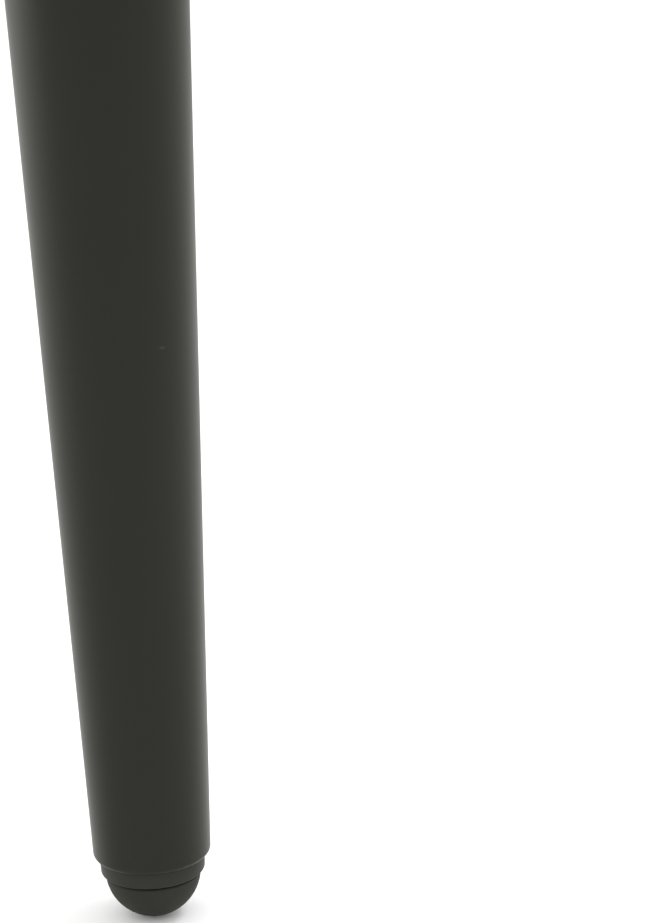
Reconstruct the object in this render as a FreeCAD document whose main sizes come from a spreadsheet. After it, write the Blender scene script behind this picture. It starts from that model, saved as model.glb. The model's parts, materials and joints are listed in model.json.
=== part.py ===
import FreeCAD, Part
import math
import os

import Sketcher

# Height adjustable table leg: a conical steel tube hung from a square plate, with a moulded insert
# snapped into its lower end and a half-round foot that screws in and out of the insert.
# Millimetres, +Z up. The origin is the centre of the plate's top face, where the tabletop rests.

SIZES = {
    # Whole leg, from the top face of the plate to the floor, with the foot screwed in
    "leg_height": 710.0,
    # Mounting plate and its four countersunk holes
    "plate_side": 120.0,
    "plate_thickness": 4.0,
    "plate_corner_radius": 12.0,
    "plate_edge_break": 0.5,
    "screw_spacing": 96.0,
    "screw_hole_diameter": 5.5,
    "screw_head_diameter": 11.0,
    # Conical tube, rolled inwards at its lower end to a flat lip round the mouth
    "tube_upper_diameter": 80.0,
    "tube_lower_diameter": 38.0,
    "tube_wall": 1.5,
    "lip_thickness": 1.5,
    "lip_rounding": 2.0,
    "lip_inner_rounding": 0.5,
    "lip_width": 4.0,
    # Fillet weld between tube and plate, by the length of its legs
    "weld_leg": 3.5,
    # Moulded insert: the collar that shows, set back from the tube and drafted, and the slit skirt
    # with its barb inside the tube
    "collar_height": 5.5,
    "collar_step": 1.9,
    "collar_draft": 0.25,
    "collar_edge_rounding": 0.8,
    "plug_floor": 2.5,
    "neck_clearance": 0.25,
    "skirt_wall": 1.6,
    "skirt_height": 10.5,
    "skirt_tip_inset": 0.6,
    "barb_overhang": 0.9,
    "barb_land": 0.9,
    "barb_clearance": 0.1,
    "slit_width": 2.4,
    "boss_wall": 1.9,
    "plug_rib_thickness": 1.8,
    "plug_bore_clearance": 0.3,
    # Hexagon nut held inside the boss
    "nut_across_flats": 10.0,
    "nut_thickness": 5.0,
    "nut_seat_height": 5.0,
    "nut_cover": 2.0,
    "nut_chamfer_angle": 30.0,
    # Threaded stud, drawn at its outside diameter, with a knurled round head
    "stud_diameter": 6.0,
    "stud_running_clearance": 0.06,
    "stud_tip_chamfer": 0.8,
    "stud_end_margin": 2.2,
    "stud_head_diameter": 12.0,
    "stud_head_thickness": 3.5,
    "stud_head_cover": 3.6,
    "knurl_depth": 0.45,
    # Half-round foot
    "dome_diameter": 31.0,
    "dome_height": 15.2,
    "dome_crown": 0.4,
    "dome_rim_rounding": 0.8,
    "seam_clearance": 0.3,
    # How far the foot can be screwed out
    "foot_travel": 12.0,
}

SLIT_COUNT = 6
KNURL_COUNT = 20
SCREW_COUNT = 4

# Heights above the floor and radii that several pieces share, as expressions on the sizes
COLLAR_BOTTOM = "(sizes.dome_height + sizes.seam_clearance)"
SHOULDER = f"({COLLAR_BOTTOM} + sizes.collar_height)"
TUBE_LENGTH = f"(sizes.leg_height - sizes.plate_thickness - {SHOULDER})"
TUBE_TAPER = f"((sizes.tube_upper_diameter - sizes.tube_lower_diameter) / 2 / {TUBE_LENGTH})"
UPPER_RADIUS = "sizes.tube_upper_diameter / 2"
LOWER_RADIUS = "sizes.tube_lower_diameter / 2"
STUD_RADIUS = "sizes.stud_diameter / 2"
RUNNING_BORE = f"({STUD_RADIUS} + sizes.stud_running_clearance)"
NUT_CORNER_RADIUS = "(sizes.nut_across_flats / 2 / cos(30deg))"
MOUTH_RADIUS = f"({LOWER_RADIUS} - sizes.lip_width)"
COLLAR_UPPER_RADIUS = f"({LOWER_RADIUS} - sizes.collar_step)"
COLLAR_LOWER_RADIUS = f"({COLLAR_UPPER_RADIUS} - sizes.collar_draft)"
NECK_RADIUS = f"({MOUTH_RADIUS} - sizes.neck_clearance)"
BARB_RADIUS = f"({MOUTH_RADIUS} + sizes.barb_overhang)"
SKIRT_INNER_RADIUS = f"({NECK_RADIUS} - sizes.skirt_wall)"
BOSS_RADIUS = f"({NUT_CORNER_RADIUS} + sizes.boss_wall)"
BOSS_TOP = "(sizes.nut_seat_height + sizes.nut_thickness + sizes.nut_cover)"
PLUG_TOP = "(sizes.collar_height + sizes.skirt_height)"
STUD_OUT = (
    "(sizes.seam_clearance + sizes.nut_seat_height + sizes.nut_thickness"
    " + sizes.foot_travel + sizes.stud_end_margin)"
)
HEAD_BOTTOM = "(sizes.dome_height - sizes.stud_head_cover - sizes.stud_head_thickness)"

doc = FreeCAD.newDocument("table_leg")
sheet = doc.addObject("Spreadsheet::Sheet", "sizes")
for row, (alias, size) in enumerate(SIZES.items(), start=1):
    sheet.set(f"A{row}", alias)
    sheet.set(f"B{row}", str(size))
    sheet.setAlias(f"B{row}", alias)
doc.recompute()


def value_of(expression):
    """The present value of an expression on the sizes, for a first drawing of a sketch."""
    return float(getattr(sheet.evalExpression(expression), "Value", sheet.evalExpression(expression)))


def new_body(name, height=None):
    """A sub-part of its own, lifted so that its own zero lies `height` above the floor."""
    body = doc.addObject("PartDesign::Body", name)
    body.Label = name
    if height is not None:
        body.setExpression("Placement.Base.z", f"{height} - sizes.leg_height")
    return body


def origin_feature(body, role):
    """One of the body's own origin planes or axes."""
    return next(f for f in body.Origin.OriginFeatures if f.Role == role)


def new_sketch(body, name, plane, offset=None):
    """A sketch on one of the body's own origin planes, or parallel to it at an offset."""
    sketch = body.newObject("Sketcher::SketchObject", name)
    sketch.AttachmentSupport = [(origin_feature(body, plane), "")]
    sketch.MapMode = "FlatFace"
    if offset is not None:
        sketch.setExpression("AttachmentOffset.Base.z", offset)
    return sketch


def pin_point(sketch, geometry, end, point, name):
    """Ties a sketch point to a pair of expressions, or to an axis where an expression is 0."""
    for kind, axis, part_name, expression in (
        ("DistanceX", -2, "across", point[0]),
        ("DistanceY", -1, "up", point[1]),
    ):
        if expression == "0":
            sketch.addConstraint(Sketcher.Constraint("PointOnObject", geometry, end, axis))
            continue
        constraint = Sketcher.Constraint(kind, -1, 1, geometry, end, value_of(expression))
        index = sketch.addConstraint(constraint)
        sketch.renameConstraint(index, f"{name}_{part_name}")
        sketch.setExpression(f"Constraints.{name}_{part_name}", expression)


def arc_on_axis(first, second):
    """The arc from one point to another whose centre lies on the axis, and whether it is reversed."""
    (x0, y0), (x1, y1) = first, second
    centre_y = (x1**2 + y1**2 - x0**2 - y0**2) / (2 * (y1 - y0))
    start = math.atan2(y0 - centre_y, x0)
    end = math.atan2(y1 - centre_y, x1)
    circle = Part.Circle(
        FreeCAD.Vector(0, centre_y, 0), FreeCAD.Vector(0, 0, 1), math.hypot(x0, y0 - centre_y)
    )
    backwards = end < start
    low, high = sorted((start, end))
    return Part.ArcOfCircle(circle, low, high), backwards


def round_corner(sketch, before, after, corner, radius, name):
    """Rounds the corner between two edges, which stay aimed at a construction point where it was."""
    place = FreeCAD.Vector(value_of(corner[0]), value_of(corner[1]), 0)
    nearby = []
    for geometry in (before, after):
        curve = sketch.Geometry[geometry]
        margin = 0.05 * (curve.LastParameter - curve.FirstParameter)
        ends = (curve.value(curve.FirstParameter + margin), curve.value(curve.LastParameter - margin))
        nearby.append(min(ends, key=place.distanceToPoint))
    sketch.fillet(before, after, nearby[0], nearby[1], value_of(radius), True, True)
    rounding = sketch.GeometryCount - 1
    index = sketch.addConstraint(Sketcher.Constraint("Radius", rounding, value_of(radius)))
    sketch.renameConstraint(index, f"{name}_rounding")
    sketch.setExpression(f"Constraints.{name}_rounding", radius)
    point = sketch.addGeometry(Part.Point(place), True)
    for geometry in (before, after):
        sketch.addConstraint(Sketcher.Constraint("PointOnObject", point, 1, geometry))
    pin_point(sketch, point, 1, corner, name)


def draw_outline(sketch, points, arcs=(), rounded=None):
    """Draws a closed outline. `points` maps a name to a pair of expressions, `arcs` names the points
    whose edge to the next point is an arc centred on the axis of revolution, and `rounded` gives the
    radius of each corner that is rounded."""
    rounded = rounded or {}
    names = list(points)
    places = [tuple(value_of(e) for e in points[n]) for n in names]
    ends = []
    for i, name in enumerate(names):
        first, second = places[i], places[(i + 1) % len(places)]
        if name in arcs:
            arc, backwards = arc_on_axis(first, second)
            geometry = sketch.addGeometry(arc, False)
            sketch.addConstraint(Sketcher.Constraint("PointOnObject", geometry, 3, -2))
            ends.append((geometry, 2, 1) if backwards else (geometry, 1, 2))
        else:
            line = Part.LineSegment(FreeCAD.Vector(*first, 0), FreeCAD.Vector(*second, 0))
            ends.append((sketch.addGeometry(line, False), 1, 2))
    for i, name in enumerate(names):
        geometry, start, end = ends[i]
        following, following_start, _ = ends[(i + 1) % len(ends)]
        sketch.addConstraint(
            Sketcher.Constraint("Coincident", geometry, end, following, following_start)
        )
        if name not in rounded:
            pin_point(sketch, geometry, start, points[name], name)
    for name, radius in rounded.items():
        i = names.index(name)
        round_corner(sketch, ends[i - 1][0], ends[i][0], points[name], radius, name)


def draw_circle(sketch, centre, diameter):
    """Draws a circle about a point that is given as a pair of expressions."""
    place = FreeCAD.Vector(value_of(centre[0]), value_of(centre[1]), 0)
    circle = Part.Circle(place, FreeCAD.Vector(0, 0, 1), value_of(diameter) / 2)
    geometry = sketch.addGeometry(circle, False)
    if centre == ("0", "0"):
        sketch.addConstraint(Sketcher.Constraint("Coincident", geometry, 3, -1, 1))
    else:
        pin_point(sketch, geometry, 3, centre, "centre")
    index = sketch.addConstraint(Sketcher.Constraint("Diameter", geometry, value_of(diameter)))
    sketch.renameConstraint(index, "diameter")
    sketch.setExpression("Constraints.diameter", diameter)


def draw_hexagon(sketch, across_flats):
    """Draws a regular hexagon about the origin, inside a construction circle."""
    radius = value_of(across_flats) / 2 / math.cos(math.radians(30))
    circle = Part.Circle(FreeCAD.Vector(), FreeCAD.Vector(0, 0, 1), radius)
    ring = sketch.addGeometry(circle, True)
    sketch.addConstraint(Sketcher.Constraint("Coincident", ring, 3, -1, 1))
    corners = []
    for i in range(6):
        angle = math.radians(60 * i)
        corners.append(FreeCAD.Vector(radius * math.cos(angle), radius * math.sin(angle), 0))
    sides = [
        sketch.addGeometry(Part.LineSegment(corners[i], corners[(i + 1) % 6]), False)
        for i in range(6)
    ]
    for i, side in enumerate(sides):
        sketch.addConstraint(Sketcher.Constraint("Coincident", side, 2, sides[(i + 1) % 6], 1))
        sketch.addConstraint(Sketcher.Constraint("PointOnObject", side, 1, ring))
        if i:
            sketch.addConstraint(Sketcher.Constraint("Equal", sides[0], side))
    sketch.addConstraint(Sketcher.Constraint("PointOnObject", sides[0], 1, -1))
    index = sketch.addConstraint(Sketcher.Constraint("Diameter", ring, 2 * radius))
    sketch.renameConstraint(index, "across_corners")
    sketch.setExpression("Constraints.across_corners", f"{across_flats} / cos(30deg)")


def revolve(body, name, sketch, kind="PartDesign::Revolution"):
    """Turns a sketch a full turn about its vertical axis, to add or to cut."""
    feature = body.newObject(kind, name)
    feature.Profile = sketch
    feature.ReferenceAxis = (sketch, ["V_Axis"])
    feature.Angle = 360.0
    return feature


def extrude(body, name, sketch, length, kind="PartDesign::Pad", reverse=False):
    """Pads or pockets a sketch by a length given as an expression."""
    feature = body.newObject(kind, name)
    feature.Profile = sketch
    feature.Reversed = reverse
    feature.setExpression("Length", length)
    return feature


def repeat_round(body, name, feature, count):
    """Repeats a feature evenly about the body's own vertical axis."""
    pattern = body.newObject("PartDesign::PolarPattern", name)
    pattern.Originals = [feature]
    pattern.Axis = (origin_feature(body, "Z_Axis"), [""])
    pattern.Angle = 360.0
    pattern.Occurrences = count
    body.Tip = pattern
    return pattern


def edges_of(feature, test):
    """The names of a feature's edges that pass a test on the edge."""
    return [f"Edge{i}" for i, edge in enumerate(feature.Shape.Edges, start=1) if test(edge)]


def is_ring(edge, radius, height):
    """Whether an edge is a circle about the vertical axis, of this radius and at this height."""
    if edge.Degenerated:
        return False
    curve = edge.Curve
    return (
        isinstance(curve, Part.Circle)
        and abs(curve.Radius - radius) < 0.01
        and abs(curve.Center.z - height) < 0.01
        and math.hypot(curve.Center.x, curve.Center.y) < 0.01
    )


def round_edges(body, name, feature, test, radius):
    """Rounds the edges of a feature that pass a test."""
    doc.recompute()
    fillet = body.newObject("PartDesign::Fillet", name)
    fillet.Base = (feature, edges_of(feature, test))
    fillet.setExpression("Radius", radius)
    return fillet


def build_mounting_plate():
    """Square plate with rounded corners and four holes, countersunk from below."""
    body = new_body("mounting_plate", "(sizes.leg_height - sizes.plate_thickness)")
    sketch = new_sketch(body, "plate_outline", "XY_Plane")
    half = "sizes.plate_side / 2"
    draw_outline(
        sketch,
        {
            "front_left": (f"-{half}", f"-{half}"),
            "front_right": (half, f"-{half}"),
            "back_right": (half, half),
            "back_left": (f"-{half}", half),
        },
    )
    blank = extrude(body, "plate_blank", sketch, "sizes.plate_thickness")
    corners = round_edges(
        body,
        "plate_corners",
        blank,
        lambda edge: abs(edge.Vertexes[0].Z - edge.Vertexes[-1].Z) > 0.01,
        "sizes.plate_corner_radius",
    )
    doc.recompute()
    rims = body.newObject("PartDesign::Chamfer", "plate_rims")
    rims.Base = (
        corners,
        edges_of(corners, lambda edge: abs(edge.Vertexes[0].Z - edge.Vertexes[-1].Z) < 0.01),
    )
    rims.setExpression("Size", "sizes.plate_edge_break")
    place = new_sketch(body, "screw_place", "XY_Plane")
    draw_circle(
        place, ("sizes.screw_spacing / 2", "sizes.screw_spacing / 2"), "sizes.screw_hole_diameter"
    )
    doc.recompute()
    hole = body.newObject("PartDesign::Hole", "screw_hole")
    hole.Profile = place
    doc.recompute()
    hole.DepthType = "ThroughAll"
    hole.Reversed = True
    hole.setExpression("Diameter", "sizes.screw_hole_diameter")
    hole.HoleCutType = "Countersink"
    hole.HoleCutCustomValues = True
    hole.HoleCutCountersinkAngle = 90.0
    hole.setExpression("HoleCutDiameter", "sizes.screw_head_diameter")
    pattern = repeat_round(body, "screw_holes", hole, SCREW_COUNT)
    return body, rims, pattern


def build_leg_tube():
    """Conical tube whose lower end is rolled in to a lip round the mouth."""
    body = new_body("leg_tube", SHOULDER)
    sketch = new_sketch(body, "wall_section", "XZ_Plane")
    inner_low = f"{LOWER_RADIUS} - sizes.tube_wall + {TUBE_TAPER} * sizes.lip_thickness"
    draw_outline(
        sketch,
        {
            "mouth_low": (MOUTH_RADIUS, "0"),
            "outer_low": (LOWER_RADIUS, "0"),
            "outer_high": (UPPER_RADIUS, TUBE_LENGTH),
            "inner_high": (f"{UPPER_RADIUS} - sizes.tube_wall", TUBE_LENGTH),
            "inner_low": (inner_low, "sizes.lip_thickness"),
            "mouth_high": (MOUTH_RADIUS, "sizes.lip_thickness"),
        },
    )
    wall = revolve(body, "tube_wall", sketch)
    lip = round_edges(
        body,
        "lip_rounding",
        wall,
        lambda edge: is_ring(edge, value_of(LOWER_RADIUS), 0),
        "sizes.lip_rounding",
    )
    round_edges(
        body,
        "lip_inner_rounding",
        lip,
        lambda edge: is_ring(edge, value_of(inner_low), value_of("sizes.lip_thickness")),
        "sizes.lip_inner_rounding",
    )
    return body


def build_plate_weld():
    """Fillet weld round the tube's upper end, lying on its cone and on the plate."""
    body = new_body(
        "plate_weld", "(sizes.leg_height - sizes.plate_thickness - sizes.weld_leg)"
    )
    sketch = new_sketch(body, "bead_section", "XZ_Plane")
    draw_outline(
        sketch,
        {
            "toe_on_tube": (f"{UPPER_RADIUS} - {TUBE_TAPER} * sizes.weld_leg", "0"),
            "toe_on_plate": (f"{UPPER_RADIUS} + sizes.weld_leg", "sizes.weld_leg"),
            "root": (UPPER_RADIUS, "sizes.weld_leg"),
        },
    )
    revolve(body, "bead", sketch)
    return body


def build_foot_plug():
    """Moulded insert: collar, floor, ribbed boss round the nut, and six snap fingers with a barb."""
    body = new_body("foot_plug", COLLAR_BOTTOM)
    barb_low = "(sizes.collar_height + sizes.lip_thickness + sizes.barb_clearance)"
    bore = f"{STUD_RADIUS} + sizes.plug_bore_clearance"
    section = new_sketch(body, "plug_section", "XZ_Plane")
    draw_outline(
        section,
        {
            "bore_low": (bore, "0"),
            "collar_low": (COLLAR_LOWER_RADIUS, "0"),
            "collar_high": (COLLAR_UPPER_RADIUS, "sizes.collar_height"),
            "neck_low": (NECK_RADIUS, "sizes.collar_height"),
            "neck_high": (NECK_RADIUS, barb_low),
            "barb_low": (BARB_RADIUS, barb_low),
            "barb_high": (BARB_RADIUS, f"{barb_low} + sizes.barb_land"),
            "tip_outer": (f"{NECK_RADIUS} - sizes.skirt_tip_inset", PLUG_TOP),
            "tip_inner": (SKIRT_INNER_RADIUS, PLUG_TOP),
            "well_outer": (SKIRT_INNER_RADIUS, "sizes.plug_floor"),
            "well_inner": (BOSS_RADIUS, "sizes.plug_floor"),
            "boss_outer": (BOSS_RADIUS, BOSS_TOP),
            "boss_inner": (bore, BOSS_TOP),
        },
    )
    turned = revolve(body, "plug_shell", section)
    rounded = round_edges(
        body,
        "collar_rounding",
        turned,
        lambda edge: is_ring(edge, value_of(COLLAR_LOWER_RADIUS), 0),
        "sizes.collar_edge_rounding",
    )
    rib_sketch = new_sketch(body, "rib_plan", "XY_Plane", "sizes.plug_floor")
    half_rib = "sizes.plug_rib_thickness / 2"
    rib_inner = f"{BOSS_RADIUS} - sizes.boss_wall / 2"
    rib_outer = f"{SKIRT_INNER_RADIUS} + sizes.skirt_wall / 2"
    draw_outline(
        rib_sketch,
        {
            "inner_right": (rib_inner, f"-{half_rib}"),
            "outer_right": (rib_outer, f"-{half_rib}"),
            "outer_left": (rib_outer, half_rib),
            "inner_left": (rib_inner, half_rib),
        },
    )
    rib = extrude(body, "boss_rib", rib_sketch, "sizes.collar_height - sizes.plug_floor")
    ribs = repeat_round(body, "boss_ribs", rib, SLIT_COUNT)
    slit_start = f"({BOSS_RADIUS} + {SKIRT_INNER_RADIUS}) / 2"
    slit_sketch = new_sketch(body, "slit_face", "XZ_Plane", slit_start)
    half_slit = "sizes.slit_width / 2"
    draw_outline(
        slit_sketch,
        {
            "low_right": (f"-{half_slit}", "sizes.collar_height"),
            "low_left": (half_slit, "sizes.collar_height"),
            "high_left": (half_slit, f"{PLUG_TOP} + sizes.skirt_wall"),
            "high_right": (f"-{half_slit}", f"{PLUG_TOP} + sizes.skirt_wall"),
        },
    )
    slit = extrude(
        body, "finger_slit", slit_sketch, MOUTH_RADIUS, "PartDesign::Pocket", True
    )
    slits = repeat_round(body, "finger_slits", slit, SLIT_COUNT)
    nut_sketch = new_sketch(body, "nut_seat_plan", "XY_Plane", "sizes.nut_seat_height")
    draw_hexagon(nut_sketch, "sizes.nut_across_flats")
    seat = extrude(
        body, "nut_seat", nut_sketch, "sizes.nut_thickness", "PartDesign::Pocket", True
    )
    return body, rounded, ribs, slits, seat


def build_plug_nut():
    """Hexagon nut with its corners chamfered on both faces."""
    body = new_body("plug_nut", f"({COLLAR_BOTTOM} + sizes.nut_seat_height)")
    plan = new_sketch(body, "nut_plan", "XY_Plane")
    draw_hexagon(plan, "sizes.nut_across_flats")
    blank = extrude(body, "nut_blank", plan, "sizes.nut_thickness")
    face_radius = "sizes.nut_across_flats / 2"
    drop = f"({NUT_CORNER_RADIUS} - {face_radius}) * tan(sizes.nut_chamfer_angle * 1deg)"
    corner_cuts = []
    for name, face, rim in (
        ("lower", "0", drop),
        ("upper", "sizes.nut_thickness", f"sizes.nut_thickness - {drop}"),
    ):
        sketch = new_sketch(body, f"{name}_chamfer_section", "XZ_Plane")
        draw_outline(
            sketch,
            {
                "face": (face_radius, face),
                "corner": (NUT_CORNER_RADIUS, face),
                "side": (NUT_CORNER_RADIUS, rim),
            },
        )
        corner_cuts.append(revolve(body, f"{name}_chamfer", sketch, "PartDesign::Groove"))
    bore_plan = new_sketch(body, "bore_plan", "XY_Plane")
    draw_circle(bore_plan, ("0", "0"), f"2 * {RUNNING_BORE}")
    bore = extrude(
        body, "nut_bore", bore_plan, "sizes.nut_thickness", "PartDesign::Pocket", True
    )
    return body, blank, corner_cuts, bore


def build_foot_stud():
    """Stud with a chamfered tip and, inside the foot, a round head with a knurled edge."""
    body = new_body("foot_stud", HEAD_BOTTOM)
    head_radius = "sizes.stud_head_diameter / 2"
    top = f"(sizes.stud_head_thickness + sizes.stud_head_cover + {STUD_OUT})"
    section = new_sketch(body, "stud_section", "XZ_Plane")
    draw_outline(
        section,
        {
            "axis_low": ("0", "0"),
            "head_low": (head_radius, "0"),
            "head_high": (head_radius, "sizes.stud_head_thickness"),
            "shank_low": (STUD_RADIUS, "sizes.stud_head_thickness"),
            "shank_high": (STUD_RADIUS, f"{top} - sizes.stud_tip_chamfer"),
            "tip": (f"{STUD_RADIUS} - sizes.stud_tip_chamfer", top),
            "axis_high": ("0", top),
        },
    )
    turned = revolve(body, "stud_turned", section)
    knurl_sketch = new_sketch(body, "knurl_plan", "XY_Plane")
    draw_outline(
        knurl_sketch,
        {
            "root": (f"{head_radius} - sizes.knurl_depth", "0"),
            "right": (f"{head_radius} + sizes.knurl_depth", "-sizes.knurl_depth"),
            "left": (f"{head_radius} + sizes.knurl_depth", "sizes.knurl_depth"),
        },
    )
    notch = extrude(
        body, "knurl_notch", knurl_sketch, "sizes.stud_head_thickness", "PartDesign::Pocket", True
    )
    notches = repeat_round(body, "knurl_notches", notch, KNURL_COUNT)
    return body, turned, notches


def build_foot_dome():
    """Half-round foot with a slightly crowned top face, moulded round the head of the stud."""
    body = new_body("foot_dome", "0")
    section = new_sketch(body, "dome_section", "XZ_Plane")
    draw_outline(
        section,
        {
            "pole": ("0", "0"),
            "rim": ("sizes.dome_diameter / 2", "sizes.dome_height - sizes.dome_crown"),
            "crown": ("0", "sizes.dome_height"),
        },
        arcs=("pole",),
        rounded={"rim": "sizes.dome_rim_rounding"},
    )
    turned = revolve(body, "dome_turned", section)
    pocket_radius = "sizes.stud_head_diameter / 2 + sizes.stud_running_clearance"
    pocket_low = f"({HEAD_BOTTOM} - sizes.stud_running_clearance)"
    pocket_high = "(sizes.dome_height - sizes.stud_head_cover + sizes.stud_running_clearance)"
    seat = new_sketch(body, "head_seat_section", "XZ_Plane")
    draw_outline(
        seat,
        {
            "axis_low": ("0", pocket_low),
            "seat_low": (pocket_radius, pocket_low),
            "seat_high": (pocket_radius, pocket_high),
            "bore_low": (RUNNING_BORE, pocket_high),
            "bore_high": (RUNNING_BORE, "sizes.dome_height + sizes.seam_clearance"),
            "axis_high": ("0", "sizes.dome_height + sizes.seam_clearance"),
        },
    )
    cut = revolve(body, "head_seat", seat, "PartDesign::Groove")
    return body, turned, cut


def check_cut(before, after, name):
    """Stops if a cutting feature took nothing away."""
    if not after.Shape.Volume < before.Shape.Volume - 0.01:
        raise RuntimeError(f"{name} cuts nothing")


plate, plate_rims, plate_holes = build_mounting_plate()
tube = build_leg_tube()
weld = build_plate_weld()
plug, plug_rounded, plug_ribs, plug_slits, plug_seat = build_foot_plug()
nut, nut_blank, nut_chamfers, nut_bore = build_plug_nut()
stud, stud_turned, stud_notches = build_foot_stud()
dome, dome_turned, dome_seat = build_foot_dome()
doc.recompute()

for item in doc.Objects:
    if "Invalid" in item.State or "Error" in item.State:
        raise RuntimeError(f"{item.Name} failed to build: {item.State}")

check_cut(plate_rims, plate_holes, "the plate's screw holes")
check_cut(plug_ribs, plug_slits, "the insert's slits")
check_cut(plug_slits, plug_seat, "the insert's nut seat")
check_cut(nut_blank, nut_chamfers[0], "the nut's lower chamfer")
check_cut(nut_chamfers[0], nut_chamfers[1], "the nut's upper chamfer")
check_cut(nut_chamfers[1], nut_bore, "the nut's bore")
check_cut(stud_turned, stud_notches, "the stud's knurl")
check_cut(dome_turned, dome_seat, "the foot's seat for the stud")

parts = [plate, tube, weld, plug, nut, stud, dome]
for piece in parts:
    if piece.Shape.isNull() or not piece.Shape.isValid() or len(piece.Shape.Solids) != 1:
        raise RuntimeError(f"{piece.Label} isn't one valid solid")

os.makedirs("parts", exist_ok=True)
for piece in parts:
    piece.Shape.exportStep(f"parts/{piece.Label}.step")
    box = piece.Shape.BoundBox
    print(f"{piece.Label}: {piece.Shape.Volume:.0f} mm3, z {box.ZMin:.2f} to {box.ZMax:.2f}")
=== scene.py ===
"""Looks of a height adjustable table leg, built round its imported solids.

A conical steel tube, powder coated in a satin dark olive grey, hangs from a square plate. A moulded
insert closes its lower end, and a half-round foot screws in and out of the insert on a plated stud.
Lengths are metres, +Z is up, and the origin is the middle of the plate's top face.
"""
import json
import logging
import math
from dataclasses import dataclass, field
from enum import Enum
from typing import Callable, Sequence

import bmesh
import bpy
from mathutils import Matrix, Vector

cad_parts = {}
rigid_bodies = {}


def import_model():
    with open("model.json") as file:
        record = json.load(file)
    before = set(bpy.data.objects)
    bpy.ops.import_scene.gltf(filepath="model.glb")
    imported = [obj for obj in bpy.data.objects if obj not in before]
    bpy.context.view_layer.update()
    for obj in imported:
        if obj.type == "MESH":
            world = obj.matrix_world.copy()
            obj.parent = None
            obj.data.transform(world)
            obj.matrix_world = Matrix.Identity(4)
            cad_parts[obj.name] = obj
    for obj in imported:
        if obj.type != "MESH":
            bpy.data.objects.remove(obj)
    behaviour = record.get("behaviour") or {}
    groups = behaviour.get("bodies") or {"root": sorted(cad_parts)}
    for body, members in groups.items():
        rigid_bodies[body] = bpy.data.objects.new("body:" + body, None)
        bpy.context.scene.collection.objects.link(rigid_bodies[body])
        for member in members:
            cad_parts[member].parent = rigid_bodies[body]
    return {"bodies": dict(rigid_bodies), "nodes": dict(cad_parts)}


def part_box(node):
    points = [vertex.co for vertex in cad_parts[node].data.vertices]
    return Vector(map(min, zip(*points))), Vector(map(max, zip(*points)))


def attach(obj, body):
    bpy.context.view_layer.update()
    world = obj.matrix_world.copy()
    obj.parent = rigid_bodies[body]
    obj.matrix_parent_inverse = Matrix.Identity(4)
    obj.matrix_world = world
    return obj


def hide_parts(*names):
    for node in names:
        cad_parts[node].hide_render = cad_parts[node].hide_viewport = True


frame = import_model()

LOG = logging.getLogger("table_leg")
MM = 0.001
WELD_DISTANCE = 1e-7
RING_SLACK = 2e-5
MIX_INPUTS = (0, 6, 7)
MIX_OUTPUT = 2
Point = tuple[float, float]
Span = tuple[float, float]
Triple = tuple[float, float, float]
Colour = Triple


class Slot(Enum):
    """Material slots of the record."""

    COAT = "powder_coat"
    INSERT = "insert_plastic"
    FOOT = "foot_plastic"
    ZINC = "zinc_steel"


class Body(Enum):
    """Bodies that the pieces move with."""

    LEG = "leg"
    FOOT = "foot"
    SCREW = "foot_screw"


class Carving(Enum):
    """Ways that one solid works on another."""

    CUT = "DIFFERENCE"
    JOIN = "UNION"


class Effect(Enum):
    """Effects on a surface, by the names of their node groups."""

    RELIEF = "surface_relief"
    DRIFT = "tone_drift"
    RUB = "rub_mark"


# Mesh tools


def turned(outline: Sequence[Point], segments: int) -> bmesh.types.BMesh:
    """Turns an outline about the vertical axis into a closed surface.

    Args:
        outline: Radius and height of each corner, in order. The last one joins the first.
        segments: How many steps the full turn takes.

    Returns:
        A new bmesh with its doubles merged and its faces outwards.
    """
    bm = bmesh.new()
    corners = [bm.verts.new((r, 0.0, z)) for r, z in outline]
    for first, second in zip(corners, corners[1:] + corners[:1]):
        bm.edges.new((first, second))
    bmesh.ops.spin(
        bm,
        geom=bm.verts[:] + bm.edges[:],
        cent=(0.0, 0.0, 0.0),
        axis=(0.0, 0.0, 1.0),
        angle=math.tau,
        steps=segments,
        use_merge=True,
    )
    tidy(bm)
    return bm


def tidy(bm: bmesh.types.BMesh) -> None:
    """Merges doubles, drops faces of no size and points the rest outwards.

    Args:
        bm: The mesh to tidy.
    """
    bmesh.ops.remove_doubles(bm, verts=bm.verts[:], dist=WELD_DISTANCE)
    bmesh.ops.dissolve_degenerate(bm, edges=bm.edges[:], dist=WELD_DISTANCE)
    bmesh.ops.recalc_face_normals(bm, faces=bm.faces[:])


def ring_edges(bm: bmesh.types.BMesh, r: float, z: float) -> list[bmesh.types.BMEdge]:
    """Finds the ring of edges at a radius and a height.

    Args:
        bm: The turned mesh.
        r: Radius of the ring.
        z: Height of the ring.

    Returns:
        The edges whose two ends lie on the ring.
    """
    def on_ring(vertex: bmesh.types.BMVert) -> bool:
        """Whether a vertex lies on the ring."""
        off = max(abs(vertex.co.xy.length - r), abs(vertex.co.z - z))
        return off < RING_SLACK

    return [edge for edge in bm.edges if all(on_ring(vertex) for vertex in edge.verts)]


def round_ring(bm: bmesh.types.BMesh, r: float, z: float, width: float, segments: int) -> None:
    """Rounds a ring of edges.

    Args:
        bm: The turned mesh.
        r: Radius of the ring.
        z: Height of the ring.
        width: How far the rounding reaches from the edge.
        segments: Steps across the rounding.
    """
    bmesh.ops.bevel(
        bm,
        geom=ring_edges(bm, r, z),
        offset=width,
        offset_type="OFFSET",
        segments=segments,
        profile=0.5,
        affect="EDGES",
        material=-1,
    )


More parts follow.
